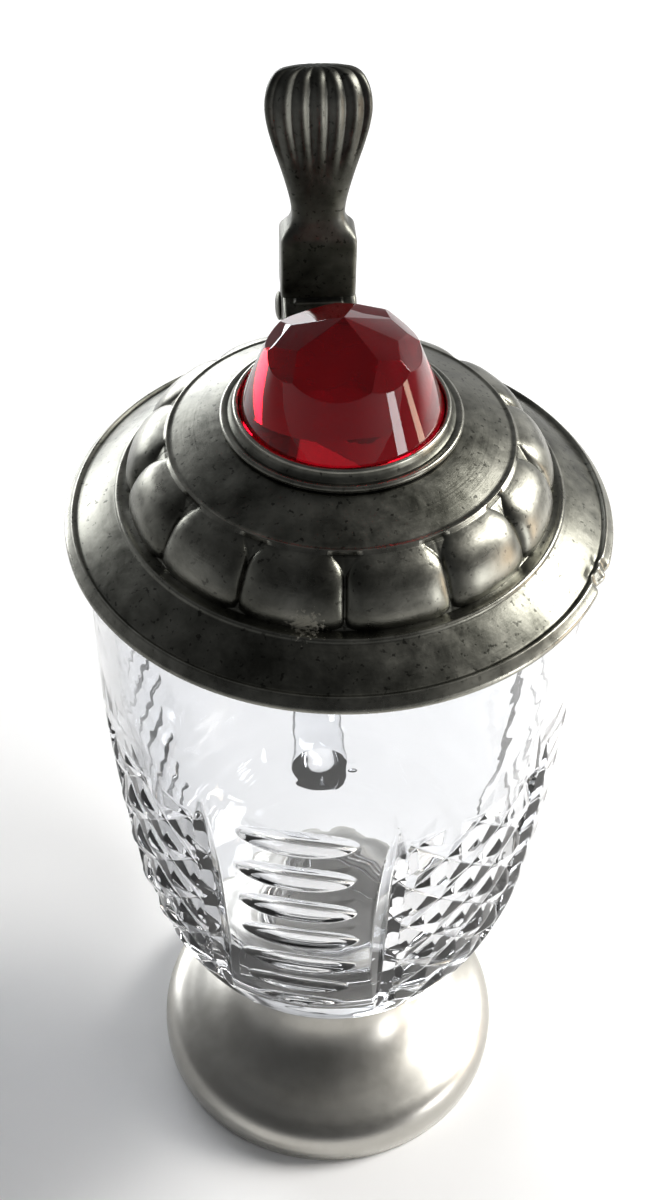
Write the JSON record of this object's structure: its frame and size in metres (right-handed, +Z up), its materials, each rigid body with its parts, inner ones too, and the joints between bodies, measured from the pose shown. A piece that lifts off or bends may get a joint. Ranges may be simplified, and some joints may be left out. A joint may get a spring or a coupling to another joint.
{
  "type": "lidded beer stein",
  "caption": "Cut glass beer stein on a pewter foot, with a glass handle, a hinged gadrooned pewter lid, a faceted red glass inlay and a shell thumblift.",
  "frame": {"origin": "centre of the flat underside of the foot, on the vessel's axis", "axes": "+Z up along the vessel's axis, +Y from the axis towards the hinge and the handle, +X to the right of a person who looks along +Y"},
  "size_m": [0.1, 0.1432, 0.2252],
  "materials": {
    "clear_glass": "polished and wheel cut",
    "pewter_light": "satin pewter",
    "pewter_dark": "aged pewter with a dark patina",
    "plaster": "matt plaster",
    "pin_steel": "drawn",
    "red_glass": "polished facets"
  },
  "bodies": {
    "stein": {"glass_body": "clear_glass", "glass_handle": "clear_glass", "foot_shell": "pewter_light", "foot_base_disc": "pewter_light", "foot_plaster": "plaster", "handle_strap": "pewter_dark", "hinge_pin": "pin_steel", "pin_cap_left": "pewter_dark", "pin_cap_right": "pewter_dark"},
    "lid": {"lid_shell": "pewter_dark", "lid_bezel": "pewter_dark", "inlay_bed": "plaster", "lid_inlay": "red_glass", "lid_shank": "pewter_dark", "thumblift": "pewter_dark"}
  },
  "joints": [
    {"name": "lid_hinge", "type": "hinge", "parent": "stein", "child": "lid", "pos_m": [0, 0.062, 0.1724], "axis": [-1, 0, 0], "range_deg": [0, 100]}
  ]
}
